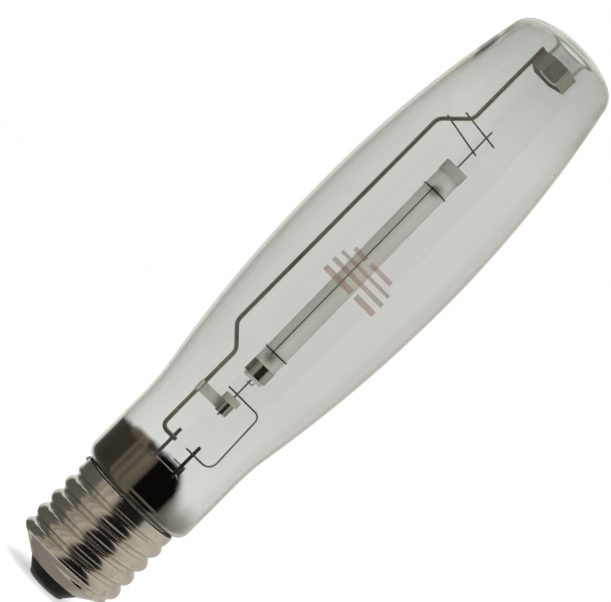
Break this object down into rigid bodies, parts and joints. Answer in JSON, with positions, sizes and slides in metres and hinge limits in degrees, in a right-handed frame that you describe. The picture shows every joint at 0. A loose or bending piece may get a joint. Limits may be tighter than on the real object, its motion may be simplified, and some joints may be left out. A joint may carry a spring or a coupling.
{
  "type": "high pressure sodium lamp",
  "caption": "High pressure sodium lamp: a clear elongated dimpled bulb holding a ceramic arc tube on a wire mount, on a coarse mogul screw base.",
  "frame": {"origin": "centre of the outer face of the centre contact, at the very bottom of the lamp", "axes": "+Z along the lamp's axis from the base to the bulb's crown, +Y away from the viewer of the picture, +X to the viewer's right with the base down; the side rod runs on the -X side"},
  "size_m": [0.0578, 0.0578, 0.2465],
  "materials": {
    "bulb_glass": "clear hard glass",
    "stem_glass": "clear glass",
    "shell_nickel": "bright nickel plate on brass",
    "insulator_glass": "glossy black",
    "contact_brass": "dull plated brass",
    "solder": "dull solder",
    "cement": "matte basing cement",
    "lead_wire": "drawn nickel wire",
    "frame_rod": "drawn nickelled iron rod, slightly browned",
    "clip_nickel": "satin nickel sheet",
    "getter_nickel": "fired nickel channel",
    "strap_steel": "satin sheet",
    "bush_ceramic": "matte",
    "niobium": "bright drawn tube",
    "alumina": "translucent sintered alumina",
    "molybdenum": "drawn refractory wire",
    "tungsten": "dark tungsten",
    "heat_band": "bright metal foil",
    "amalgam": "bright bead"
  },
  "bodies": {
    "root": {"outer_bulb": "bulb_glass", "stem": "stem_glass", "exhaust_tube": "stem_glass", "screw_shell": "shell_nickel", "base_insulator": "insulator_glass", "centre_contact": "contact_brass", "contact_solder": "solder", "basing_cement": "cement", "lead_post_frame": "lead_wire", "lead_post_return": "lead_wire", "centre_lead": "lead_wire", "side_lead": "lead_wire", "side_solder": "solder", "side_rod": "frame_rod", "dimple_clip": "clip_nickel", "tie_wire_lower": "lead_wire", "tie_wire_upper": "lead_wire", "feed_wire": "lead_wire", "getter_wire": "lead_wire", "getter_ring": "getter_nickel", "bush_strap": "strap_steel", "bush_ceramic": "bush_ceramic", "bush_sleeve": "niobium", "lead_stop_wire": "niobium", "amalgam_dose": "amalgam", "arc_tube": "alumina", "starting_aid_wire": "molybdenum", "starting_aid_loop_lower": "molybdenum", "starting_aid_loop_upper": "molybdenum", "upper_end_plug": "alumina", "lower_end_plug": "alumina", "upper_niobium_lead": "niobium", "lower_niobium_lead": "niobium", "upper_electrode_rod": "tungsten", "lower_electrode_rod": "tungsten", "upper_electrode_coil": "tungsten", "lower_electrode_coil": "tungsten", "upper_heat_band": "heat_band", "lower_heat_band": "heat_band"}
  },
  "joints": []
}
